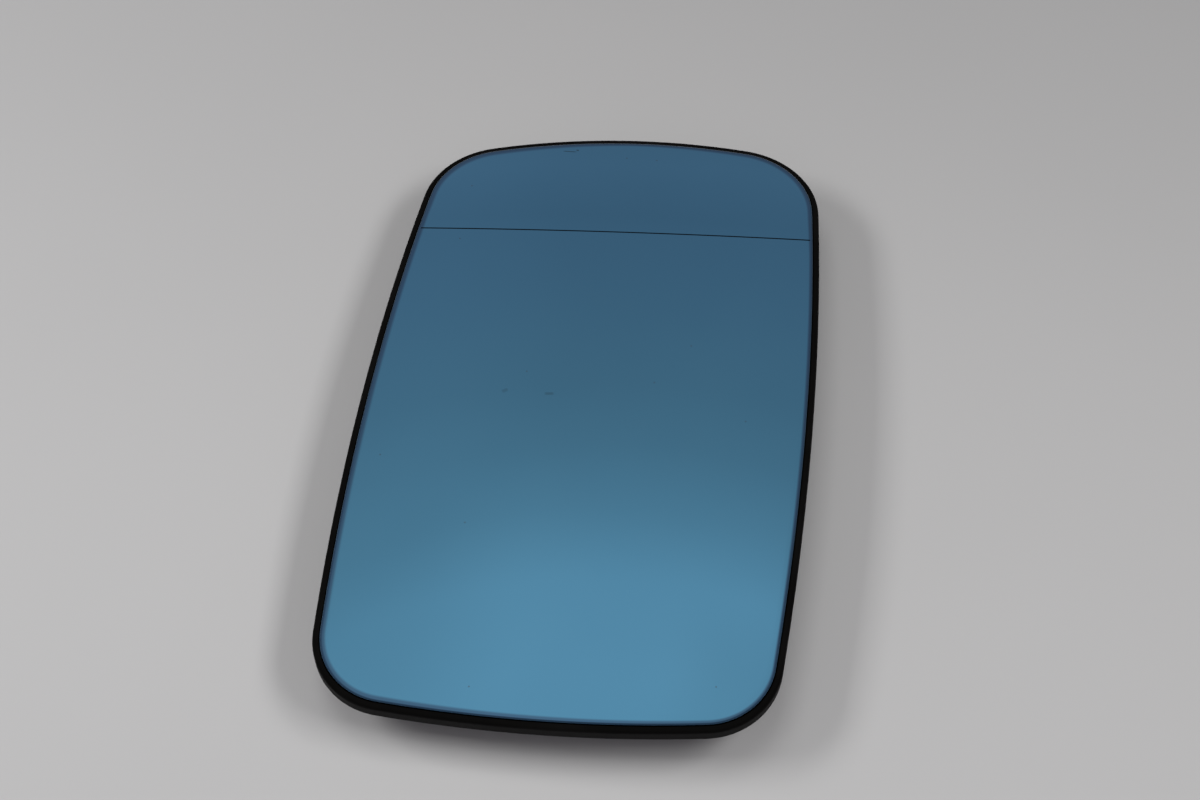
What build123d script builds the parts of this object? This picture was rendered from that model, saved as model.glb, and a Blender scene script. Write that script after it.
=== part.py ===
from build123d import *
from math import asin, cos, degrees, radians, sin, sqrt, tan
import os

# Car door mirror glass, in millimetres and degrees. The pane faces +Z, and its outer end, past the
# dividing line, is towards +Y. The origin is on the snap collar's axis, in the plane of its mouth.

# Outline of the pane: four bowed sides through the corners of two slanted ends
inner_end_distance = 78.15  # collar axis to the chord of the inner end
outer_end_distance = 74.95
inner_end_width = 97.4
outer_end_width = 92.9
inner_end_slant = 3.0
outer_end_slant = 6.4
inner_end_bow = 3.9
outer_end_bow = 6.5
side_bow = 3.6
inner_corner_radius = 16.2
outer_corner_radius = 19.7

# Dome of the pane: a sphere, and past the dividing line a tighter curve across the line
main_radius = 1400.0
outer_radius = 500.0
division_distance = 49.95  # collar axis to the dividing line
division_slant = 5.4
division_width = 0.35
division_depth = 0.08

# Layers, from the front face of the pane down
glass_thickness = 2.0
pad_thickness = 0.3
adhesive_gap = 0.1  # on each side of the heater pad
plate_wall = 1.7
glass_round = 1.0  # ground edge of the front face
pad_margin = 3.0  # edge of the pane to the edge of the heater pad

# Rim of the backing plate
edge_gap = 0.2
rim_width = 1.45
rim_drop = 0.55  # front of the rim below the front face of the pane
rim_round = 0.7
heel_round = 0.6

# Snap collar: rigid guide walls that alternate with spring hooks
collar_height = 12.8  # back of the plate to the mouth
collar_radius = 31.0
collar_wall = 2.0
strut_angle = 16.0  # middle of a guide wall to each of its two struts
hook_count = 4
hook_span = 30.0
hook_wall = 1.5
hook_slot = 5.0  # angle left free on each side of a hook
bead_depth = 1.0
bead_land = 1.6
bead_setback = 1.4  # mouth to the land of the bead
hook_setback = 0.4  # mouth to the tip of a hook, so that the guide walls stand proud
core_width = 2.4  # window that the mould's core leaves behind each bead
mouth_chamfer = 0.5
key_width = 4.0
key_depth = 0.7

# Ribs on the back of the plate
rib_count = 12
rib_thickness = 1.2
rib_height = 5.0  # at the ring around the collar
ring_gap = 4.4  # outside of the collar to the ring
edge_rib_inset = 5.0  # edge of the pane to the rib along it
edge_rib_height = 1.6
seat_rib_count = 8
seat_rib_height = 2.6
seat_gap = 1.0  # mould windows to the seat ring
hub_radius = 9.0

# Heater terminals: two blades, each riveted to the pad through a window in the plate
terminal_spacing = 26.0
terminal_distance = 50.0  # collar axis to the middle of the windows
blade_width = 6.3
blade_thickness = 0.8
blade_length = 9.0
blade_taper = 1.2
blade_hole = 1.7
blade_hole_distance = 3.6  # from the tip
foot_length = 9.0
bend_radius = 0.6
rivet_offset = 2.2  # middle of the foot to the rivet
rivet_diameter = 2.0
rivet_head_diameter = 3.8
rivet_head_height = 0.6
window_clearance = 1.6
window_corner = 1.5
window_frame_wall = 1.1
window_frame_height = 2.2

# Depths below the front face of the pane, and heights above the mouth of the collar
pad_front_depth = glass_thickness + adhesive_gap
pad_back_depth = pad_front_depth + pad_thickness
pocket_depth = pad_back_depth + adhesive_gap
stack_depth = pocket_depth + plate_wall
pane_height = collar_height + stack_depth
web_top = collar_height + plate_wall
rib_level = collar_height - rib_height
seat_level = collar_height - seat_rib_height
bead_top = bead_setback + bead_land

# Plan of the collar and the ribs around and inside it
guide_span = 360 / hook_count - hook_span - 2 * hook_slot
guide_start = -guide_span / 2
hook_start = 180 / hook_count - hook_span / 2
collar_middle = collar_radius + collar_wall / 2
ring_radius = collar_radius + collar_wall + ring_gap + rib_thickness / 2
seat_radius = collar_radius - core_width - seat_gap - rib_thickness / 2

# Places of the heater terminals and of what surrounds them
terminal_places = [(side * terminal_spacing / 2, -terminal_distance) for side in (-1, 1)]
rivet_places = [(x, y + rivet_offset) for x, y in terminal_places]
window_width = blade_width + 2 * window_clearance
window_length = foot_length + 2 * window_clearance

# Section of the dome, upright and across the dividing line, from the centre of the main sphere
along_line = Vector(cos(radians(division_slant)), sin(radians(division_slant)), 0)
across_line = Vector(-along_line.Y, along_line.X, 0)
main_centre = Vector(0, 0, pane_height - main_radius)
division_tilt = degrees(asin(division_distance / main_radius))
division_angle = 90 - division_tilt  # of the dividing line, seen from the centre of the sphere
outer_centre = Vector(0, main_radius - outer_radius).rotate(Axis.Z, -division_tilt)
blank_length = inner_end_distance + outer_end_distance
main_sweep = division_tilt + degrees(asin(blank_length / main_radius))
outer_sweep = degrees(asin(outer_end_distance / outer_radius))
blank_turn = degrees(asin(inner_end_width / main_radius))
dome_axis = Axis(main_centre, across_line)
steep_limit = 0.5  # a face whose normal has less Z than this counts as a side
section_plane = Plane(main_centre, x_dir=across_line, z_dir=along_line.rotate(dome_axis, -blank_turn))


def end_corners(distance, width, slant):
    # The left and right corner of one end of the pane, before they are rounded
    rise = width / 2 * tan(radians(slant))
    return (-width / 2, distance - rise), (width / 2, distance + rise)


def grown_outline(amount):
    # The outline of the pane, grown all round: each of its arcs keeps its centre
    with BuildSketch() as outline:
        with BuildLine():
            for edge in pane_outline.sketch.edges():
                centre = edge.arc_center
                growth = 1 + amount / edge.radius
                ThreePointArc(*[centre + (edge @ place - centre) * growth for place in (0, 0.5, 1)])
        make_face()
    return outline.sketch


def domed_slab(front_depth, back_depth, outline):
    # The layer between two depths below the pane's front face, cut to an outline
    with BuildPart() as slab:
        with BuildSketch(section_plane):
            with BuildLine():
                ends = []
                for depth in (front_depth, back_depth):
                    main_arc = CenterArc((0, 0), main_radius - depth, division_angle, main_sweep)
                    outer_arc = CenterArc(outer_centre, outer_radius - depth, division_angle, -outer_sweep)
                    ends.append((main_arc @ 1, outer_arc @ 1))
                Line(ends[0][0], ends[1][0])
                Line(ends[0][1], ends[1][1])
            make_face()
        revolve(axis=dome_axis, revolution_arc=2 * blank_turn)
        with BuildSketch():
            add(outline)
        extrude(amount=2 * pane_height, mode=Mode.INTERSECT)
    return slab.part


def dome_level(x, y, depth):
    # Height of the spherical part of the dome at one place, at a depth below the front face
    return main_centre.Z + sqrt((main_radius - depth) ** 2 - x**2 - y**2)


def rim_edges(part, upward):
    # The edges where the side of a slab meets its front face (upward 1) or its back (upward -1)
    faces = part.faces().filter_by(lambda face: face.normal_at().Z * upward > steep_limit)
    sides = part.faces().filter_by(lambda face: abs(face.normal_at().Z) < steep_limit)
    return faces.edges() & sides.edges()


def radial_plane(angle):
    # The upright plane through the collar's axis: local x runs outwards, local y upwards
    return Plane(
        (0, 0, 0),
        x_dir=(cos(radians(angle)), sin(radians(angle)), 0),
        z_dir=(sin(radians(angle)), -cos(radians(angle)), 0),
    )


def reach_along(outline, angle):
    # Distance from the collar's axis to an outline in one direction
    ray = Edge.make_line((0, 0, 0), radial_plane(angle).x_dir * 2 * blank_length)
    return outline.face().intersect(ray).edges()[0].length


def radial_web(angle, start, end, start_level, end_level):
    # The face of an upright rib along one radius, whose lower edge runs from one level to another
    with BuildSketch(radial_plane(angle)) as web:
        with BuildLine():
            Polyline((start, start_level), (end, end_level), (end, web_top), (start, web_top), close=True)
        make_face()
    return web.sketch.face()


inner_left, inner_right = end_corners(-inner_end_distance, inner_end_width, inner_end_slant)
outer_left, outer_right = end_corners(outer_end_distance, outer_end_width, outer_end_slant)

with BuildSketch() as pane_outline:
    with BuildLine():
        SagittaArc(inner_left, inner_right, -inner_end_bow)
        SagittaArc(inner_right, outer_right, -side_bow)
        SagittaArc(outer_right, outer_left, -outer_end_bow)
        SagittaArc(outer_left, inner_left, -side_bow)
    make_face()
    fillet(pane_outline.vertices().sort_by(Axis.Y)[-2:], outer_corner_radius)
    fillet(pane_outline.vertices().sort_by(Axis.Y)[:2], inner_corner_radius)

with BuildSketch(Plane((0, 0, 0), x_dir=along_line, z_dir=(0, 0, 1))) as division_strip:
    with Locations((0, division_distance)):
        Rectangle(2 * inner_end_width, division_width)

edge_rib_middle = grown_outline(-edge_rib_inset - rib_thickness / 2)
frame_level = dome_level(0, terminal_distance, stack_depth) - window_frame_height

with BuildSketch() as edge_rib_outline:
    add(grown_outline(-edge_rib_inset))
    add(grown_outline(-edge_rib_inset - rib_thickness), mode=Mode.SUBTRACT)

# Mirror pane, with a ground edge and the engraved dividing line
pane_blank = domed_slab(0, glass_thickness, pane_outline.sketch)
line_cut = domed_slab(-division_depth, division_depth, division_strip.sketch)
with BuildPart() as mirror_glass:
    add(pane_blank)
    fillet(rim_edges(mirror_glass, 1), glass_round)
    add(line_cut, mode=Mode.SUBTRACT)

# Heater pad, with a hole for each rivet
pad_blank = domed_slab(pad_front_depth, pad_back_depth, grown_outline(-pad_margin))
with BuildPart() as heater_pad:
    add(pad_blank)
    with BuildSketch():
        with Locations(*rivet_places):
            Circle(rivet_diameter / 2)
    extrude(amount=2 * pane_height, mode=Mode.SUBTRACT)

# One guide wall and one spring hook of the collar, and the mould window behind a hook
with BuildPart() as guide_wall:
    with BuildSketch(Plane.XZ):
        with Locations((collar_radius, 0)):
            Rectangle(collar_wall, web_top, align=Align.MIN)
    revolve(axis=Axis.Z, revolution_arc=guide_span)
    chamfer(guide_wall.edges().group_by(Axis.Z)[0].filter_by(GeomType.CIRCLE), mouth_chamfer)

with BuildPart() as spring_hook:
    with BuildSketch(Plane.XZ):
        with BuildLine():
            Polyline(
                (collar_radius, web_top),
                (collar_radius, bead_top + bead_depth),
                (collar_radius - bead_depth, bead_top),
                (collar_radius - bead_depth, bead_setback),
                (collar_radius, hook_setback),
                (collar_radius + hook_wall, hook_setback),
                (collar_radius + hook_wall, web_top),
                close=True,
            )
        make_face()
    revolve(axis=Axis.Z, revolution_arc=hook_span)

with BuildPart() as core_window:
    with BuildSketch(Plane.XZ):
        with Locations((collar_radius - core_width, seat_level)):
            Rectangle(core_width, seat_rib_height + stack_depth, align=Align.MIN)
    revolve(axis=Axis.Z, revolution_arc=hook_span)

# Faces of the upright ribs: ring to edge, guide walls to ring, and hub to seat ring
webs = []
for index in range(rib_count):
    angle = index * 360 / rib_count
    reach = reach_along(edge_rib_middle, angle)
    end_level = dome_level(reach, 0, stack_depth) - edge_rib_height
    webs.append(radial_web(angle, ring_radius, reach, rib_level, end_level))
for index in range(hook_count):
    for side in (-1, 1):
        angle = index * 360 / hook_count + side * strut_angle
        webs.append(radial_web(angle, collar_middle, ring_radius, rib_level, rib_level))
for index in range(seat_rib_count):
    angle = (index + 0.5) * 360 / seat_rib_count
    webs.append(radial_web(angle, hub_radius, seat_radius, seat_level, seat_level))

# Backing plate: the domed tray, then all that stands on its back, then the pocket for pane and pad
plate_blank = domed_slab(rim_drop, stack_depth, grown_outline(edge_gap + rim_width))
edge_rib = domed_slab(pocket_depth, stack_depth + edge_rib_height, edge_rib_outline.sketch)
pocket = domed_slab(-stack_depth, pocket_depth, grown_outline(edge_gap))
rings = ((ring_radius, rib_level), (seat_radius, seat_level), (hub_radius, seat_level))
with BuildPart() as backing_plate:
    add(plate_blank)
    fillet(rim_edges(backing_plate, 1), rim_round)
    fillet(rim_edges(backing_plate, -1), heel_round)
    add(edge_rib)
    with PolarLocations(0, hook_count, start_angle=guide_start):
        add(guide_wall.part)
    with PolarLocations(0, hook_count, start_angle=hook_start):
        add(spring_hook.part)
    with BuildSketch(Plane.XY.offset(bead_top)):
        with Locations((0, collar_radius)):
            Rectangle(key_width, 2 * key_depth)
    extrude(amount=web_top - bead_top)
    for radius, level in rings:
        with BuildSketch(Plane.XY.offset(level)):
            Circle(radius + rib_thickness / 2)
            Circle(radius - rib_thickness / 2, mode=Mode.SUBTRACT)
        extrude(amount=web_top - level)
    extrude(webs, amount=rib_thickness / 2, both=True)
    with BuildSketch(Plane.XY.offset(frame_level)):
        with Locations(*terminal_places):
            RectangleRounded(
                window_width + 2 * window_frame_wall,
                window_length + 2 * window_frame_wall,
                window_corner + window_frame_wall,
            )
    extrude(amount=web_top - frame_level)
    with BuildSketch():
        with Locations(*terminal_places):
            RectangleRounded(window_width, window_length, window_corner)
    extrude(amount=2 * pane_height, mode=Mode.SUBTRACT)
    with PolarLocations(0, hook_count, start_angle=hook_start):
        add(core_window.part, mode=Mode.SUBTRACT)
    add(pocket, mode=Mode.SUBTRACT)


def heater_terminal(x, y):
    # One blade terminal: a foot under the pad that bends down into the blade
    foot_level = dome_level(x, y, pad_back_depth)
    blade_y = y - foot_length / 2 + blade_thickness / 2
    tip_level = foot_level - blade_length
    with BuildPart() as terminal:
        with BuildSketch(Plane.YZ.offset(x)):
            with BuildLine():
                FilletPolyline(
                    (blade_y, tip_level),
                    (blade_y, foot_level - blade_thickness / 2),
                    (y + foot_length / 2, foot_level - blade_thickness / 2),
                    radius=bend_radius + blade_thickness / 2,
                )
            trace(line_width=blade_thickness)
        extrude(amount=blade_width / 2, both=True)
        chamfer(terminal.edges().filter_by(Axis.Y).group_by(Axis.Z)[0], blade_taper)
        with BuildSketch(Plane.XZ.offset(-blade_y)):
            with Locations((x, tip_level + blade_hole_distance)):
                Circle(blade_hole / 2)
        extrude(amount=blade_thickness, both=True, mode=Mode.SUBTRACT)
        with BuildSketch():
            with Locations(*rivet_places):
                Circle(rivet_diameter / 2)
        extrude(amount=2 * pane_height, mode=Mode.SUBTRACT)
        add(above_foot, mode=Mode.SUBTRACT)
    return terminal.part


above_foot = domed_slab(0, pad_back_depth, pane_outline.sketch)
terminal_left, terminal_right = (heater_terminal(x, y) for x, y in terminal_places)

# Rivets: a head under each foot, and a shank through foot and pad
with BuildPart() as terminal_rivets:
    for x, y in rivet_places:
        foot_level = dome_level(x, terminal_distance, pad_back_depth) - blade_thickness
        with BuildSketch(Plane.XY.offset(foot_level)):
            with Locations((x, y)):
                Circle(rivet_head_diameter / 2)
        extrude(amount=-rivet_head_height)
        with BuildSketch(Plane.XY.offset(foot_level)):
            with Locations((x, y)):
                Circle(rivet_diameter / 2)
        extrude(amount=blade_thickness + pad_back_depth - glass_thickness / 2)
    chamfer(terminal_rivets.edges().group_by(Axis.Z)[0], rivet_head_height / 2)
    add(pane_blank, mode=Mode.SUBTRACT)

pieces = {
    "mirror_glass": mirror_glass.part,
    "heater_pad": heater_pad.part,
    "backing_plate": backing_plate.part,
    "terminal_left": terminal_left,
    "terminal_right": terminal_right,
    "terminal_rivets": terminal_rivets.part,
}
os.makedirs("parts", exist_ok=True)
for name, piece in pieces.items():
    piece.label = name
    export_step(piece, f"parts/{name}.step")
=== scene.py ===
import math

import bmesh
import bpy
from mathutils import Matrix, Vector


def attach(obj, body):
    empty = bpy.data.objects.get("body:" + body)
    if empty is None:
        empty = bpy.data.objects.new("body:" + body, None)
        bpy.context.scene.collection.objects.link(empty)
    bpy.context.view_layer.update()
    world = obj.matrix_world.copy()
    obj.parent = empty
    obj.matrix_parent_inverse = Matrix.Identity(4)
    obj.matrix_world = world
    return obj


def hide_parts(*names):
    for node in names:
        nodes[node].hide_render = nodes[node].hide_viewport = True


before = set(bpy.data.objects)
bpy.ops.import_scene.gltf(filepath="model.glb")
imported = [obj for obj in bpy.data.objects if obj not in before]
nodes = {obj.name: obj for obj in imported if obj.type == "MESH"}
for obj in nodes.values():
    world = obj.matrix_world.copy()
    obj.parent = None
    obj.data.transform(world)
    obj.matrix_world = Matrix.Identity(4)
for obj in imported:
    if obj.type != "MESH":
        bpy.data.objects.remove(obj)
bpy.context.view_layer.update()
scene = bpy.context.scene
scene.view_settings.view_transform = "Standard"
mm = 0.001
print("frame loaded:", ", ".join(sorted(nodes)))

# dome of the front face: a sphere, and a tighter curve past the dividing line
dome = {
    "faceHeight": 17.0 * mm, "mainRadius": 1400.0 * mm, "outerRadius": 500.0 * mm,
    "lineDistance": 49.95 * mm, "lineSlant": math.radians(5.4),
}


class Wire:  # one socket of a node tree, so that node maths reads as Python
    def __init__(self, tree, socket=None):
        self.tree, self.socket = tree, socket

    def node(self, kind, settings=None, inputs=None, output=0):
        made = self.tree.nodes.new(kind)
        for name, value in (settings or {}).items():
            if name == "stops":
                setStops(made.color_ramp, value)
            else:
                setattr(made, name, value)
        for name, value in (inputs or {}).items():
            if isinstance(value, Wire):
                self.tree.links.new(value.socket, made.inputs[name])
            else:
                made.inputs[name].default_value = value
        return Wire(self.tree, made.outputs[output]) if made.outputs else None

    def other(self, output):  # another output of the same node
        return Wire(self.tree, self.socket.node.outputs[output])

    def parts(self, axes="XY"):  # this vector's parts along the axes
        return [self.node("ShaderNodeSeparateXYZ", None, {0: self}, axis) for axis in axes]

    def math(self, operation, first, second=0.0):
        return self.node("ShaderNodeMath", {"operation": operation}, {0: first, 1: second})

    def vector(self, operation, first, second, output="Vector"):
        return self.node("ShaderNodeVectorMath", {"operation": operation}, {0: first, 1: second}, output)

    def scale(self, vector, factor):
        return self.node("ShaderNodeVectorMath", {"operation": "SCALE"}, {0: vector, "Scale": factor})

    def mix(self, start, end):  # this value blends one colour into another
        return self.node("ShaderNodeMix", {"data_type": "RGBA"}, {0: self, 6: start, 7: end}, 2)

    def remap(self, low, high, start=0.0, end=1.0):  # a soft step between two limits
        return self.node("ShaderNodeMapRange", {"interpolation_type": "SMOOTHSTEP"}, {
            "Value": self, "From Min": low, "From Max": high, "To Min": start, "To Max": end})

    def __add__(self, other):
        return self.math("ADD", self, other)

    def __radd__(self, other):
        return self.math("ADD", other, self)

    def __sub__(self, other):
        return self.math("SUBTRACT", self, other)

    def __rsub__(self, other):
        return self.math("SUBTRACT", other, self)

    def __mul__(self, other):
        return self.math("MULTIPLY", self, other)

    def __rmul__(self, other):
        return self.math("MULTIPLY", other, self)

    def __truediv__(self, other):
        return self.math("DIVIDE", self, other)

    def __rtruediv__(self, other):
        return self.math("DIVIDE", other, self)

    def __pow__(self, other):
        return self.math("POWER", self, other)

    def __rpow__(self, other):
        return self.math("POWER", other, self)

    def __gt__(self, other):
        return self.math("GREATER_THAN", self, other)

    def __lt__(self, other):
        return self.math("LESS_THAN", self, other)


def setStops(ramp, stops):
    while len(ramp.elements) < len(stops):
        ramp.elements.new(1.0)
    for element, (place, level) in zip(ramp.elements, stops):
        element.position = place
        element.color = (level, level, level, 1.0)


def newMaterial(name):
    material = bpy.data.materials.new(name)
    material.use_nodes = True
    material.node_tree.nodes.clear()
    wire = Wire(material.node_tree)
    return material, wire, wire.node("ShaderNodeTexCoord", output="Object")


def closeMaterial(wire, sockets):  # the surface shader and the output
    surface = wire.node("ShaderNodeBsdfPrincipled", None, sockets)
    wire.node("ShaderNodeOutputMaterial", None, {"Surface": surface})


def noiseOf(wire, coords, noise):  # size of a blot in metres, and limits where it is cut to a mask
    made = wire.node("ShaderNodeTexNoise", None, {
        "Vector": coords, "Scale": 1 / noise["size"], "Detail": noise["detail"],
        "Roughness": noise.get("roughness", 0.5)})
    return made.remap(*noise["limits"]) if "limits" in noise else made


def bumpOf(wire, height, strength, depth):
    return wire.node("ShaderNodeBump", None, {"Height": height, "Strength": strength, "Distance": depth})


# blue mirror coating behind clear glass: faint clouds, finger haze, dust and scuffs, and a painted dark
# reflection along the edge
mirrorLook = {
    "blue": (0.112, 0.405, 0.655, 1.0), "cloudBlue": (0.106, 0.392, 0.640, 1.0),
    "cloud": {"size": 0.045, "detail": 2.0, "limits": (0.35, 0.7)},
    "paintedEdgeBlue": (0.054, 0.178, 0.330, 1.0),  # painted dark reflection: a dim band inside the outline
    "paintedEdgeWide": 0.0014, "paintedEdgeShare": 0.5,  # its width, and the share of it that is even
    "paintedEdgeLean": (-0.006, 0.001),  # its painted growth along X and Y
    "paintedEdgeCorner": 0.6, "paintedCornerFrom": 0.05,  # and its painted growth to the outer corners
    "haze": {"size": 0.016, "detail": 6.0, "roughness": 0.62, "limits": (0.52, 0.78)},
    "clean": 0.04, "hazed": 0.075, "dusty": 0.3, "glassRoughness": 0.03, "glassIndex": 1.5,
    "dust": (0.10, 0.13, 0.15, 1.0), "dustCell": 0.0075, "dustRadius": 0.035, "dustCore": 0.5,
    "dustFrom": 0.955, "dustCover": 0.55,  # draw from which a cell holds dust, and how it covers
    "scuffed": (0.030, 0.130, 0.200, 1.0), "scuffCore": (0.5, 0.4),
    "scuffs": [  # place, turn, half length, half breadth and strength
        ((-0.0150, 0.0762), 0.045, 0.0020, 0.00024, 0.75), ((-0.0131, 0.0769), 0.0, 0.0004, 0.00035, 0.8),
        ((-0.0194, -0.0009), 0.6, 0.0009, 0.0006, 0.3), ((-0.0090, -0.0005), 0.15, 0.0013, 0.0005, 0.4)],
}


def scuffMask(wire, coords, core, place, turn, length, breadth, strength):
    placed = wire.node("ShaderNodeMapping", {"vector_type": "TEXTURE"}, {
        "Vector": coords, "Location": (*place, 0.0), "Rotation": (0.0, 0.0, turn)})
    along, across = (wire.math("ABSOLUTE", away) for away in placed.parts())
    coreLength, coreBreadth = length * core[0], breadth * core[1]
    return along.remap(length, coreLength) * across.remap(breadth, coreBreadth) * strength


def dustMask(wire, coords, look):
    away = wire.node("ShaderNodeTexVoronoi", {"voronoi_dimensions": "2D"}, {
        "Vector": coords, "Scale": 1 / look["dustCell"]}, "Distance")
    drawn = wire.node("ShaderNodeSeparateColor", None, {0: away.other("Color")}, "Red") > look["dustFrom"]
    radius = look["dustRadius"]
    return away.remap(radius, radius * look["dustCore"]) * drawn * look["dustCover"]


def mirrorCoatMaterial(look):
    material, wire, coords = newMaterial("mirrorCoat")
    inset = wire.node("ShaderNodeAttribute", {"attribute_name": "inset"}, output="Fac")
    x, y = coords.parts()
    leanX, leanY = look["paintedEdgeLean"]
    # painted dark reflection: the band along the edge is darker, and grows wider towards the left, the far
    # side and the outer corners
    outer = wire.math("MAXIMUM", y - look["paintedCornerFrom"], 0.0)
    corner = wire.math("ABSOLUTE", x) * outer * look["paintedEdgeCorner"]
    wide = look["paintedEdgeWide"] + x * leanX + y * leanY + corner
    paintedFade = inset.remap(wide * look["paintedEdgeShare"], wide)
    cloud = noiseOf(wire, coords, look["cloud"])
    haze = noiseOf(wire, coords, look["haze"])
    dust = dustMask(wire, coords, look)
    scuffs = sum(scuffMask(wire, coords, look["scuffCore"], *scuff) for scuff in look["scuffs"])
    blue = paintedFade.mix(look["paintedEdgeBlue"], cloud.mix(look["blue"], look["cloudBlue"]))
    closeMaterial(wire, {
        "Base Color": scuffs.mix(dust.mix(blue, look["dust"]), look["scuffed"]), "Metallic": 1.0,
        "Roughness": haze.remap(0.0, 1.0, look["clean"], look["hazed"]) + dust * look["dusty"],
        "Coat Weight": 1.0, "Coat Roughness": look["glassRoughness"], "Coat IOR": look["glassIndex"]})
    return material


# rounded edge of the pane, ground and then coated with the face
edgeLook = {
    "glass": (0.070, 0.165, 0.290, 1.0), "worn": (0.085, 0.170, 0.280, 1.0),
    "grit": {"size": 0.0004, "detail": 2.0}, "patch": {"size": 0.006, "detail": 3.0, "limits": (0.4, 0.7)},
    "roughness": 0.10, "gritRoughness": 0.10, "bump": (0.2, 0.00002),  # bump: strength and depth
}


def groundEdgeMaterial(look):
    material, wire, coords = newMaterial("groundEdge")
    grit = noiseOf(wire, coords, look["grit"])
    patch = noiseOf(wire, coords, look["patch"])
    closeMaterial(wire, {
        "Base Color": patch.mix(look["glass"], look["worn"]), "Metallic": 1.0,
        "Roughness": look["roughness"] + grit * look["gritRoughness"],
        "Normal": bumpOf(wire, grit, *look["bump"])})
    return material


# dividing line, etched through the coating
lineLook = {
    "dark": (0.0014, 0.0018, 0.0024, 1.0), "pale": (0.0034, 0.0044, 0.0060, 1.0),
    "grain": {"size": 0.0006, "detail": 2.0}, "roughness": 0.45, "grainRoughness": 0.25, "gloss": 0.08,
}


def etchedLineMaterial(look):
    material, wire, coords = newMaterial("etchedLine")
    grain = noiseOf(wire, coords, look["grain"])
    closeMaterial(wire, {
        "Base Color": grain.mix(look["dark"], look["pale"]), "Specular IOR Level": look["gloss"],
        "Roughness": look["roughness"] + grain * look["grainRoughness"]})
    return material


# black moulded plastic: a smooth rim, and a paler back with a fine spark grain
plasticLook = {
    "rim": (0.0020, 0.0019, 0.0017, 1.0), "rubbed": (0.0048, 0.0046, 0.0042, 1.0), "rubbing": 0.7,
    "back": (0.015, 0.015, 0.016, 1.0), "backFlow": (0.023, 0.023, 0.0235, 1.0),
    "flowShare": 0.8, "grainShare": 0.2,  # in the tone of the back
    "backDepth": (0.00385, 0.00412),  # below the front face, where the rim's wall turns into the back
    "grain": {"size": 0.00035, "detail": 3.0, "roughness": 0.6},
    "flow": {"size": 0.018, "detail": 3.0, "roughness": 0.55, "limits": (0.4, 0.75)},
    "handling": {"size": 0.05, "detail": 2.0},
    "roughness": 0.46, "grainRoughness": 0.16, "handlingRoughness": 0.1, "backRoughness": 0.08,
    "gloss": 0.065, "rimGrain": 0.4, "bump": (0.4, 0.00006),
}


def blackPlasticMaterial(look):
    material, wire, coords = newMaterial("blackPlastic")
    x, y, z = coords.parts("XYZ")
    past = wire.math("MAXIMUM", y - dome["lineDistance"], 0.0)
    mainDrop = (x * x + y * y) / (2 * dome["mainRadius"])
    outerDrop = past * past * (1 / dome["outerRadius"] - 1 / dome["mainRadius"]) / 2
    depth = dome["faceHeight"] - mainDrop - outerDrop - z
    onBack = depth.remap(*look["backDepth"])
    grain, flow, handling = (noiseOf(wire, coords, look[name]) for name in ("grain", "flow", "handling"))
    rim = (flow * look["rubbing"]).mix(look["rim"], look["rubbed"])
    back = (flow * look["flowShare"] + grain * look["grainShare"]).mix(look["back"], look["backFlow"])
    worn = grain * look["grainRoughness"] + handling * look["handlingRoughness"]
    relief = grain * (look["rimGrain"] + onBack * (1 - look["rimGrain"]))
    closeMaterial(wire, {
        "Base Color": onBack.mix(rim, back), "Specular IOR Level": look["gloss"],
        "Roughness": look["roughness"] + worn + onBack * look["backRoughness"],
        "Normal": bumpOf(wire, relief, *look["bump"])})
    return material


# where an ejector pin pressed, the plastic is smooth and a little paler
pinLook = {
    "pressed": (0.024, 0.024, 0.025, 1.0), "turned": (0.034, 0.034, 0.035, 1.0),
    "marks": {"size": 0.0009, "detail": 3.0}, "roughness": 0.26, "marksRoughness": 0.14, "gloss": 0.3,
}


def pinMarkMaterial(look):
    material, wire, coords = newMaterial("pinMark")
    marks = noiseOf(wire, coords, look["marks"])
    closeMaterial(wire, {
        "Base Color": marks.mix(look["pressed"], look["turned"]), "Specular IOR Level": look["gloss"],
        "Roughness": look["roughness"] + marks * look["marksRoughness"]})
    return material


# heater film: silver tracks printed on pale film
filmLook = {
    "film": (0.60, 0.59, 0.54, 1.0), "track": (0.33, 0.33, 0.34, 1.0),
    "pitch": 0.0024, "trackShare": 0.62, "trackBlur": 0.05, "trackMetal": 0.6, "plainTone": 0.85,
    "mottle": {"size": 0.0035, "detail": 4.0}, "roughness": 0.32, "mottleRoughness": 0.2,
    "bump": (0.4, 0.00003),
}


def heaterFilmMaterial(look):
    material, wire, coords = newMaterial("heaterFilm")
    place = coords.parts("X")[0]
    phase = wire.math("PINGPONG", place / look["pitch"], 0.5) * 2.0  # from 0 to 1 and back in each pitch
    gap, blur = 1 - look["trackShare"], look["trackBlur"]
    track = phase.remap(gap - blur, gap + blur)
    mottle = noiseOf(wire, coords, look["mottle"])
    tone = look["plainTone"] + mottle * (1 - look["plainTone"])
    closeMaterial(wire, {
        "Base Color": (track * tone).mix(look["film"], look["track"]),
        "Metallic": track * look["trackMetal"],
        "Roughness": look["roughness"] + mottle * look["mottleRoughness"],
        "Normal": bumpOf(wire, track, *look["bump"])})
    return material


# tinned brass, stamped: drawn lines along the strip and a dull bloom
brassLook = {
    "tin": (0.70, 0.68, 0.62, 1.0), "dull": (0.52, 0.47, 0.36, 1.0), "stretch": 14.0,
    "drawn": {"size": 0.0002, "detail": 2.0},
    "bloom": {"size": 0.003, "detail": 4.0, "roughness": 0.6, "limits": (0.45, 0.72)},
    "roughness": 0.24, "drawnRoughness": 0.14, "bloomRoughness": 0.14, "bump": (0.2, 0.00002),
}


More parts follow.
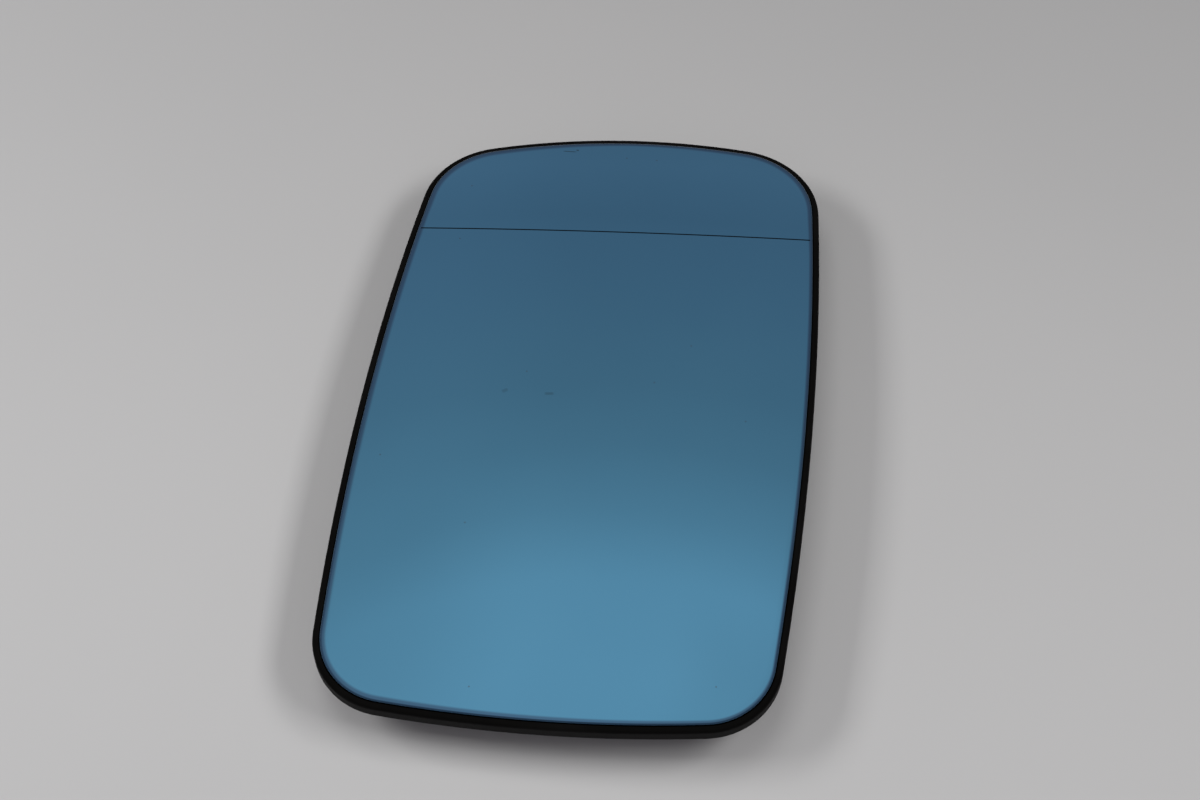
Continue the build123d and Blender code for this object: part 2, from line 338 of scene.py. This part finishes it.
def tinnedBrassMaterial(look):
    material, wire, coords = newMaterial("tinnedBrass")
    stretched = wire.node("ShaderNodeMapping", None, {
        "Vector": coords, "Scale": (1.0, 1 / look["stretch"], 1 / look["stretch"])})
    drawn = noiseOf(wire, stretched, look["drawn"])
    bloom = noiseOf(wire, coords, look["bloom"])
    closeMaterial(wire, {
        "Base Color": bloom.mix(look["tin"], look["dull"]), "Metallic": 1.0,
        "Roughness": look["roughness"] + drawn * look["drawnRoughness"] + bloom * look["bloomRoughness"],
        "Normal": bumpOf(wire, drawn, *look["bump"])})
    return material


mirrorCoat = mirrorCoatMaterial(mirrorLook)
groundEdge = groundEdgeMaterial(edgeLook)
etchedLine = etchedLineMaterial(lineLook)
blackPlastic = blackPlasticMaterial(plasticLook)
pinMark = pinMarkMaterial(pinLook)
heaterFilm = heaterFilmMaterial(filmLook)
tinnedBrass = tinnedBrassMaterial(brassLook)
print("finishes made:", len(bpy.data.materials))


def newTree(name, sizes):  # a geometry tree with one named input for each size
    tree = bpy.data.node_groups.new(name, "GeometryNodeTree")
    tree.interface.new_socket("Geometry", in_out="INPUT", socket_type="NodeSocketGeometry")
    tree.interface.new_socket("Geometry", in_out="OUTPUT", socket_type="NodeSocketGeometry")
    kinds = {int: "NodeSocketInt", float: "NodeSocketFloat"}
    for label, value in sizes.items():
        kind = kinds.get(type(value), "NodeSocketMaterial")
        tree.interface.new_socket(label, in_out="INPUT", socket_type=kind)
    entry = tree.nodes.new("NodeGroupInput")
    return tree, Wire(tree), {socket.name: Wire(tree, socket) for socket in entry.outputs if socket.name}


def realShape(wire, shape, finish):  # real faces with one finish
    real = wire.node("GeometryNodeRealizeInstances", None, {"Geometry": shape})
    return wire.node("GeometryNodeSetMaterial", None, {"Geometry": real, "Material": finish})


def runTree(name, tree, sizes, startMesh):  # the tree's result as a plain mesh
    piece = bpy.data.objects.new(name, startMesh)
    scene.collection.objects.link(piece)
    modifier = piece.modifiers.new("shape", "NODES")
    modifier.node_group = tree
    for item in tree.interface.items_tree:
        if item.in_out == "INPUT" and item.name in sizes:
            modifier[item.identifier] = sizes[item.name]
    evaluated = piece.evaluated_get(bpy.context.evaluated_depsgraph_get())
    mesh = bpy.data.meshes.new_from_object(evaluated)
    piece.modifiers.clear()
    piece.data = mesh
    mesh.name = name
    return piece


# mirror pane: outline of four bowed sides with round corners, domed front, ground edge, etched line
paneSizes = {
    "outline": {  # in millimetres
        "innerEnd": (-78.15, 97.4, 3.0), "outerEnd": (74.95, 92.9, 6.4),  # distance, width, slant
        "bows": (3.9, 3.6, 6.5, 3.6), "corners": (16.2, 19.7, 19.7, 16.2),  # from the inner end round
        "step": 0.25,
    },
    "shape": {
        **dome, "thickness": 2.0 * mm, "edgeBreadth": 0.7 * mm, "edgeDrop": 0.5 * mm,
        "around": 400, "faceRings": 40, "edgeRings": 12, "coatedRings": 8, "backRings": 4,
        "mergeDistance": 0.001 * mm, "faceFinish": mirrorCoat, "edgeFinish": groundEdge,
    },
    "etch": {
        "width": 0.35 * mm, "wall": 0.06 * mm, "depth": 0.08 * mm, "sharp": math.radians(30),
        "tolerance": 0.002 * mm, "roundShare": 0.99,  # of the edge's breadth, which the line stays off
    },
}


def endCorners(distance, width, slant):
    rise = width / 2 * math.tan(math.radians(slant))
    return Vector((-width / 2, distance - rise)), Vector((width / 2, distance + rise))


def bowedSides(corners, bows):  # centre and radius of each side's arc
    sides = []
    for index, bow in enumerate(bows):
        start, end = corners[index], corners[(index + 1) % len(corners)]
        chord = end - start
        radius = (chord.length_squared / 4 + bow * bow) / (2 * bow)
        inward = Vector((-chord.y, chord.x)).normalized()
        sides.append(((start + end) / 2 + inward * (radius - bow), radius))
    return sides


def cornerRound(sideA, sideB, radius, corner):  # the round between two sides, inside both
    (centreA, radiusA), (centreB, radiusB) = sideA, sideB
    reachA, reachB = radiusA - radius, radiusB - radius
    apart = centreB - centreA
    foot = (reachA**2 - reachB**2 + apart.length_squared) / (2 * apart.length)
    aside = math.sqrt(reachA**2 - foot**2)
    axis = apart.normalized()
    normal = Vector((-axis.y, axis.x))
    choices = [centreA + axis * foot + normal * aside * side for side in (-1, 1)]
    return min(choices, key=lambda place: (place - corner).length), radius


def arcPoints(centre, radius, first, last, step):  # counter-clockwise, without its last point
    start, sweep = math.atan2(first.y, first.x), -first.angle_signed(last)
    count = max(2, round(abs(sweep) * radius / step))
    angles = [start + sweep * index / count for index in range(count)]
    return [centre + radius * Vector((math.cos(angle), math.sin(angle))) for angle in angles]


def outlinePoints(sizes):
    innerLeft, innerRight = endCorners(*sizes["innerEnd"])
    outerLeft, outerRight = endCorners(*sizes["outerEnd"])
    corners = [innerLeft, innerRight, outerRight, outerLeft]
    sides = bowedSides(corners, sizes["bows"])
    nextSides, nextCorners = sides[1:] + sides[:1], corners[1:] + corners[:1]
    rounds = [cornerRound(*item) for item in zip(sides, nextSides, sizes["corners"], nextCorners)]
    points = []
    for index, (centre, radius) in enumerate(sides):
        before, (roundCentre, roundRadius) = rounds[index - 1][0], rounds[index]
        first, last = ((spot - centre).normalized() for spot in (before, roundCentre))
        points += arcPoints(centre, radius, first, last, sizes["step"])
        leave = (roundCentre - nextSides[index][0]).normalized()
        points += arcPoints(roundCentre, roundRadius, last, leave, sizes["step"])
    return points


def domeHeight(wire, place, size):  # height of the front face over a plan position
    cosine, sine = wire.math("COSINE", size["lineSlant"]), wire.math("SINE", size["lineSlant"])
    alongLine = wire.node("ShaderNodeCombineXYZ", None, {"X": cosine, "Y": sine})
    acrossLine = wire.node("ShaderNodeCombineXYZ", None, {"X": sine * -1.0, "Y": cosine})
    along = wire.vector("DOT_PRODUCT", place, alongLine, "Value")
    across = wire.vector("DOT_PRODUCT", place, acrossLine, "Value")
    main, outer, line = size["mainRadius"], size["outerRadius"], size["lineDistance"]
    plan = along * along + across * across
    mainDrop = plan / (main + (main * main - plan) ** 0.5)
    share = (main - outer) / main
    beyond = across - line * share
    section = share * (main * main - line * line) ** 0.5
    section = section + wire.math("MAXIMUM", outer * outer - beyond * beyond, 0.0) ** 0.5
    outerDrop = main - (section * section - along * along) ** 0.5
    return size["faceHeight"] - (mainDrop + (outerDrop - mainDrop) * (across > line))


def storeValue(wire, shape, name, value, domain):
    settings = {"data_type": "FLOAT", "domain": domain}
    return wire.node("GeometryNodeStoreNamedAttribute", settings, {
        "Geometry": shape, "Name": name, "Value": value})


def mirrorPaneTree(sizes):
    tree, wire, size = newTree("mirrorPaneShape", sizes)
    rows = size["faceRings"] + size["edgeRings"] + size["backRings"] + 2.0
    grid = wire.node("GeometryNodeMeshGrid", None, {
        "Size X": 1.0, "Size Y": 1.0, "Vertices X": size["around"] + 1.0, "Vertices Y": rows}, "Mesh")
    gridX, gridY = wire.node("GeometryNodeInputPosition").parts()
    turn, row = gridX + 0.5, (gridY + 0.5) * (rows - 1.0)
    curve = wire.node("GeometryNodeMeshToCurve", None, {0: size["Geometry"]})
    edge = wire.node("GeometryNodeSampleCurve", {"mode": "FACTOR"}, {
        "Curves": curve, "Factor": turn}, "Position")
    aside = wire.vector("CROSS_PRODUCT", edge.other("Tangent"), (0.0, 0.0, 1.0))
    outward = wire.vector("NORMALIZE", aside, (0.0, 0.0, 0.0))
    past = row - size["faceRings"]  # rows beyond the front face: the round, the back edge, then the back
    bend = wire.math("MINIMUM", wire.math("MAXIMUM", past / size["edgeRings"], 0.0), 1.0) * (math.pi / 2)
    behind = past - size["edgeRings"]
    inset = wire.scale(outward, size["edgeBreadth"] * (wire.math("SINE", bend) - 1.0))
    faceShare = wire.math("MINIMUM", row / size["faceRings"], 1.0)
    backShare = 1.0 - wire.math("MAXIMUM", behind - 1.0, 0.0) / size["backRings"]
    share = faceShare * backShare
    plan = wire.scale(wire.vector("ADD", edge, inset), share)
    roundDrop = size["edgeDrop"] * (1.0 - wire.math("COSINE", bend))
    depth = roundDrop + (size["thickness"] - size["edgeDrop"]) * (behind > 0.5)
    height = wire.node("ShaderNodeCombineXYZ", None, {"Z": domeHeight(wire, plan, size) - depth})
    fromRound = size["edgeBreadth"] * (1.0 - wire.math("SINE", bend))
    fromEdge = fromRound + (1.0 - share) * wire.vector("DOT_PRODUCT", edge, outward, "Value")
    noted = storeValue(wire, storeValue(wire, grid, "row", row, "FACE"), "inset", fromEdge, "POINT")
    shaped = wire.node("GeometryNodeSetPosition", None, {
        "Geometry": noted, "Position": wire.vector("ADD", plan, height)})
    outside = wire.node("GeometryNodeFlipFaces", None, {0: shaped})
    joined = wire.node("GeometryNodeMergeByDistance", None, {
        "Geometry": outside, "Distance": size["mergeDistance"]})
    faceRow = wire.node("GeometryNodeInputNamedAttribute", {"data_type": "FLOAT"}, {
        "Name": "row"}, "Attribute")
    coated = wire.node("GeometryNodeSetMaterial", None, {
        "Geometry": realShape(wire, joined, size["edgeFinish"]), "Material": size["faceFinish"],
        "Selection": faceRow < size["faceRings"] + size["coatedRings"]})
    wire.node("NodeGroupOutput", None, {"Geometry": coated})
    return tree


def etchLine(piece, shape, etch):  # the dividing line is a real groove across the front face
    slant, half = shape["lineSlant"], etch["width"] / 2
    across = Vector((-math.sin(slant), math.cos(slant), 0.0))

    def offLine(spot):  # distance from the middle of the line
        return abs(spot.dot(across) - shape["lineDistance"])

    piece.data.materials.append(etchedLine)
    faceIndex, lineIndex = (piece.data.materials.find(finish.name) for finish in (mirrorCoat, etchedLine))
    mesh = bmesh.new()
    mesh.from_mesh(piece.data)
    for offset in (-half, etch["wall"] - half, half - etch["wall"], half):
        everything = mesh.verts[:] + mesh.edges[:] + mesh.faces[:]
        spot = across * (shape["lineDistance"] + offset)
        bmesh.ops.bisect_plane(
            mesh, geom=everything, plane_co=spot, plane_no=across, dist=etch["tolerance"])
    inset, edge = mesh.verts.layers.float["inset"], shape["edgeBreadth"] * etch["roundShare"]
    front = [face for face in mesh.faces
             if face.material_index == faceIndex and min(vertex[inset] for vertex in face.verts) > edge]
    sunk = {vertex for face in front for vertex in face.verts
            if offLine(vertex.co) < half - etch["wall"] / 2}
    for face in front:
        if offLine(face.calc_center_median()) < half:
            face.material_index = lineIndex
    for vertex in sunk:
        vertex.co.z -= etch["depth"]
    mesh.to_mesh(piece.data)
    mesh.free()
    piece.data.shade_smooth()
    piece.data.set_sharp_from_angle(angle=etch["sharp"])


def mirrorPane(sizes):
    points = [point * mm for point in outlinePoints(sizes["outline"])]
    start = bpy.data.meshes.new("paneOutline")
    loop = [(index, (index + 1) % len(points)) for index in range(len(points))]
    start.from_pydata([(*point, 0.0) for point in points], loop, [])
    piece = runTree("mirror_pane", mirrorPaneTree(sizes["shape"]), sizes["shape"], start)
    piece.data.attributes.remove(piece.data.attributes["row"])
    etchLine(piece, sizes["shape"], sizes["etch"])
    return piece


pane = mirrorPane(paneSizes)
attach(pane, "root")
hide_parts("mirror_glass")
print("mirror pane made:", len(pane.data.polygons), "faces")

# round marks that the mould's ejector pins leave on the back of the plate: one between each two ribs
plateDepth = 4.2 * mm  # from the front face to the back of the plate
markSizes = {
    "shape": {
        "sectors": 12, "ringRadius": 38.0 * mm, "halfWidth": 46.0 * mm, "halfLength": 77.0 * mm,
        "share": 0.5, "windowShare": 0.75,  # of the way from the ring to the rib along the edge
        "windowFrom": -0.9, "leastPart": 0.001,  # parts of a direction
        "seatMarks": 4, "seatRadius": 18.0 * mm,
        "backRadius": dome["mainRadius"] - plateDepth, "backHeight": dome["faceHeight"] - plateDepth,
        "pinRadius": 2.5 * mm, "pinProud": 0.3 * mm, "pinSunk": 0.25 * mm, "pinSides": 40,
        "finish": pinMark,
    },
    "sharp": math.radians(40),
}


def ejectorMarksTree(sizes):
    tree, wire, size = newTree("ejectorMarksShape", sizes)
    index = wire.node("GeometryNodeInputIndex")
    onSeat = index > size["sectors"] - 0.5
    ringTurn = (index + 0.5) * (2 * math.pi) / size["sectors"]
    seatTurn = (index - size["sectors"]) * (2 * math.pi) / size["seatMarks"]
    turn = ringTurn + (seatTurn - ringTurn) * onSeat
    x, y = wire.math("COSINE", turn), wire.math("SINE", turn)
    sideReach, endReach = (
        half / wire.math("MAXIMUM", wire.math("ABSOLUTE", part), size["leastPart"])
        for half, part in ((size["halfWidth"], x), (size["halfLength"], y)))
    byWindow = y < size["windowFrom"]  # the terminals' windows take the middle of these two sectors
    share = size["share"] + (size["windowShare"] - size["share"]) * byWindow
    reach = size["ringRadius"] + (wire.math("MINIMUM", sideReach, endReach) - size["ringRadius"]) * share
    radius = reach + (size["seatRadius"] - reach) * onSeat
    rise = (size["backRadius"] * size["backRadius"] - radius * radius) ** 0.5
    outward = wire.node("ShaderNodeCombineXYZ", None, {"X": radius * x, "Y": radius * y, "Z": rise})
    middle = wire.node("ShaderNodeCombineXYZ", None, {"Z": size["backHeight"] - size["backRadius"]})
    points = wire.node("GeometryNodePoints", None, {
        "Count": size["sectors"] + size["seatMarks"], "Position": wire.vector("ADD", outward, middle)})
    pin = wire.node("GeometryNodeMeshCylinder", None, {
        "Vertices": size["pinSides"], "Radius": size["pinRadius"],
        "Depth": size["pinProud"] + size["pinSunk"]}, "Mesh")
    lift = wire.node("ShaderNodeCombineXYZ", None, {"Z": (size["pinSunk"] - size["pinProud"]) / 2.0})
    seated = wire.node("GeometryNodeTransform", None, {"Geometry": pin, "Translation": lift})
    tilt = wire.node("FunctionNodeAlignRotationToVector", {"axis": "Z"}, {"Vector": outward})
    pins = wire.node("GeometryNodeInstanceOnPoints", None, {
        "Points": points, "Instance": seated, "Rotation": tilt})
    wire.node("NodeGroupOutput", None, {"Geometry": realShape(wire, pins, size["finish"])})
    return tree


def ejectorMarks(sizes):
    start = bpy.data.meshes.new("ejectorMarks")
    piece = runTree("ejector_marks", ejectorMarksTree(sizes["shape"]), sizes["shape"], start)
    piece.data.set_sharp_from_angle(angle=sizes["sharp"])
    return piece


marks = ejectorMarks(markSizes)
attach(marks, "root")
print("ejector marks made:", len(marks.data.polygons), "faces")

nodeFinishes = {
    "backing_plate": blackPlastic, "heater_pad": heaterFilm, "terminal_left": tinnedBrass,
    "terminal_right": tinnedBrass, "terminal_rivets": tinnedBrass,
}
for name, finish in nodeFinishes.items():
    nodes[name].data.materials.clear()
    nodes[name].data.materials.append(finish)
print("finishes set on", len(nodeFinishes), "nodes")


# pale floor: clear from below, with painted shade that makes it darker towards the far side and a little
# towards the right
floorLook = {
    "size": 6.0, "paintedNearTone": (0.5415, 0.5387, 0.5368, 1.0), "paintedFarTone": (0.3326, 0.3298, 0.3279, 1.0),
    "paintedFade": (-0.16, 0.40), "paintedLean": 0.2, "mottle": {"size": 0.12, "detail": 3.0}, "mottleGain": 0.12,
    "roughness": 0.7, "gloss": 0.2,
}


def paleFloor(look):
    material, wire, coords = newMaterial("paleFloor")
    x, y = coords.parts()
    mottle = (noiseOf(wire, coords, look["mottle"]) - 0.5) * look["mottleGain"]
    # painted shade: the colour fades from the near tone to the darker far tone, standing in for the falloff
    # of the light; the mottle is a random tone
    paintedFade = (y + x * look["paintedLean"]).remap(*look["paintedFade"]) + mottle
    surface = wire.node("ShaderNodeBsdfPrincipled", None, {
        "Base Color": paintedFade.mix(look["paintedNearTone"], look["paintedFarTone"]),
        "Roughness": look["roughness"], "Specular IOR Level": look["gloss"]})
    below = wire.node("ShaderNodeNewGeometry", output="Backfacing")
    clear = wire.node("ShaderNodeBsdfTransparent")
    shown = wire.node("ShaderNodeMixShader", None, {0: below, 1: surface, 2: clear})
    wire.node("ShaderNodeOutputMaterial", None, {"Surface": shown})
    half = look["size"] / 2
    corners = [(-half, -half, 0), (half, -half, 0), (half, half, 0), (-half, half, 0)]
    mesh = bpy.data.meshes.new("paleFloor")
    mesh.from_pydata(corners, [], [(0, 1, 2, 3)])
    mesh.materials.append(material)
    floor = bpy.data.objects.new("paleFloor", mesh)
    floor.visible_diffuse = floor.visible_shadow = False  # the room's light from below reaches the back
    scene.collection.objects.link(floor)


# room: a bright patch overhead, dimmer walls of a slightly violet grey, soft light from below
roomLight = {
    "levels": [  # height of a direction, and its level
        (0.0, 0.10), (0.30, 0.17), (0.50, 0.22), (0.60, 0.255), (0.64, 0.265), (0.71, 0.245), (0.785, 0.28),
        (0.82, 0.30), (0.85, 0.345), (0.88, 0.44), (0.905, 0.565), (0.935, 0.60), (1.0, 0.60)],
    "wall": (1.0, 0.95, 1.05, 1.0), "ceiling": (1.0, 1.0, 1.0, 1.0), "wallTop": (0.70, 0.90),
    "patchMiddle": -0.02, "patchEdge": (0.08, 0.20), "patchFoot": (0.84, 0.90), "patchDim": 0.14,
    "behind": (0.0, 0.5), "behindTop": (0.92, 0.75), "behindDim": 0.2,
    "left": (0.08, 0.22), "leftTop": (0.93, 0.84, 0.35, 1.0), "leftGain": 0.09,
    "right": (0.0, 0.06), "rightTop": (0.905, 0.935), "rightDim": 0.09,
    "under": (-0.05, -0.35), "underLevel": 0.7,
    "matteFront": (0.1, 0.5), "matteShare": (0.2, 1.7),  # share on matte surfaces, from back and front
}


def softRoom(look):
    world = bpy.data.worlds.new("softRoom")
    world.use_nodes = True
    world.node_tree.nodes.clear()
    wire = Wire(world.node_tree)
    x, y, height = wire.node("ShaderNodeTexCoord", output="Generated").parts("XYZ")
    level = wire.node("ShaderNodeValToRGB", {"stops": look["levels"]}, {"Fac": height})
    aside = wire.math("ABSOLUTE", x - look["patchMiddle"]).remap(*look["patchEdge"])
    dim = aside * height.remap(*look["patchFoot"]) * look["patchDim"]
    behind = (y * -1.0).remap(*look["behind"]) * height.remap(*look["behindTop"]) * look["behindDim"]
    left = (x * -1.0).remap(*look["left"]) * height.remap(*look["leftTop"]) * look["leftGain"]
    right = x.remap(*look["right"]) * height.remap(*look["rightTop"]) * look["rightDim"]
    under = height.remap(*look["under"]) * look["underLevel"]
    tint = height.remap(*look["wallTop"]).mix(look["wall"], look["ceiling"])
    camera = wire.node("ShaderNodeLightPath", output="Is Camera Ray")
    seen = wire.math("MAXIMUM", camera, camera.other("Is Glossy Ray"))
    seen = wire.math("MAXIMUM", seen, camera.other("Is Transmission Ray"))
    matte = (y * -1.0).remap(*look["matteFront"], *look["matteShare"])
    share = matte + seen * (1.0 - matte)  # the camera and the pane see the room in full
    shade = (1.0 - dim) * (1.0 - behind) * (1.0 + left - right)
    light = wire.scale(tint, level * shade * share + under)
    background = wire.node("ShaderNodeBackground", None, {"Color": light, "Strength": 1.0})
    wire.node("ShaderNodeOutputWorld", None, {"Surface": background})
    scene.world = world


# lamps: a strip on each side and a panel near the zenith; rise in degrees, shift along Y, power in watts
lampDistance = 1.0
lamps = {
    "rightLamp": {"side": 1, "rise": 52.0, "size": (0.55, 0.24), "shift": -0.02, "power": 4.3},
    "leftLamp": {"side": -1, "rise": 41.0, "size": (0.45, 0.22), "shift": -0.02, "power": 4.3},
    "topLamp": {"side": -1, "rise": 80.0, "size": (0.6, 0.45), "shift": 0.14, "power": 2.1},
}


def placeLamp(name, lamp):
    data = bpy.data.lights.new(name, "AREA")
    data.shape, data.energy = "RECTANGLE", lamp["power"]
    data.size, data.size_y = lamp["size"]
    rise = math.radians(lamp["rise"])
    toward = Vector((lamp["side"] * math.cos(rise), 0.0, math.sin(rise)))
    item = bpy.data.objects.new(name, data)
    item.location = toward * lampDistance + Vector((0.0, lamp["shift"], 0.0))
    item.rotation_euler = toward.to_track_quat("Z", "Y").to_euler()
    item.visible_glossy = False  # the pane shows the room, not the lamps
    scene.collection.objects.link(item)


# camera at the viewing angle of the photograph
view = {
    "place": (0.03755, -0.25985, 0.4028), "direction": (-0.0741, 0.5560, -0.8279),
    "lens": 60.0, "sensor": 36.0, "clip": (0.01, 50.0),
}


def placeCamera(view):
    data = bpy.data.cameras.new("viewCamera")
    data.lens, data.sensor_width, data.sensor_fit = view["lens"], view["sensor"], "HORIZONTAL"
    data.clip_start, data.clip_end = view["clip"]
    camera = bpy.data.objects.new("viewCamera", data)
    camera.location = view["place"]
    camera.rotation_euler = Vector(view["direction"]).to_track_quat("-Z", "Y").to_euler()
    scene.collection.objects.link(camera)
    scene.camera = camera


paleFloor(floorLook)
softRoom(roomLight)
for name, lamp in lamps.items():
    placeLamp(name, lamp)
placeCamera(view)
print("floor, room, lamps and camera placed")
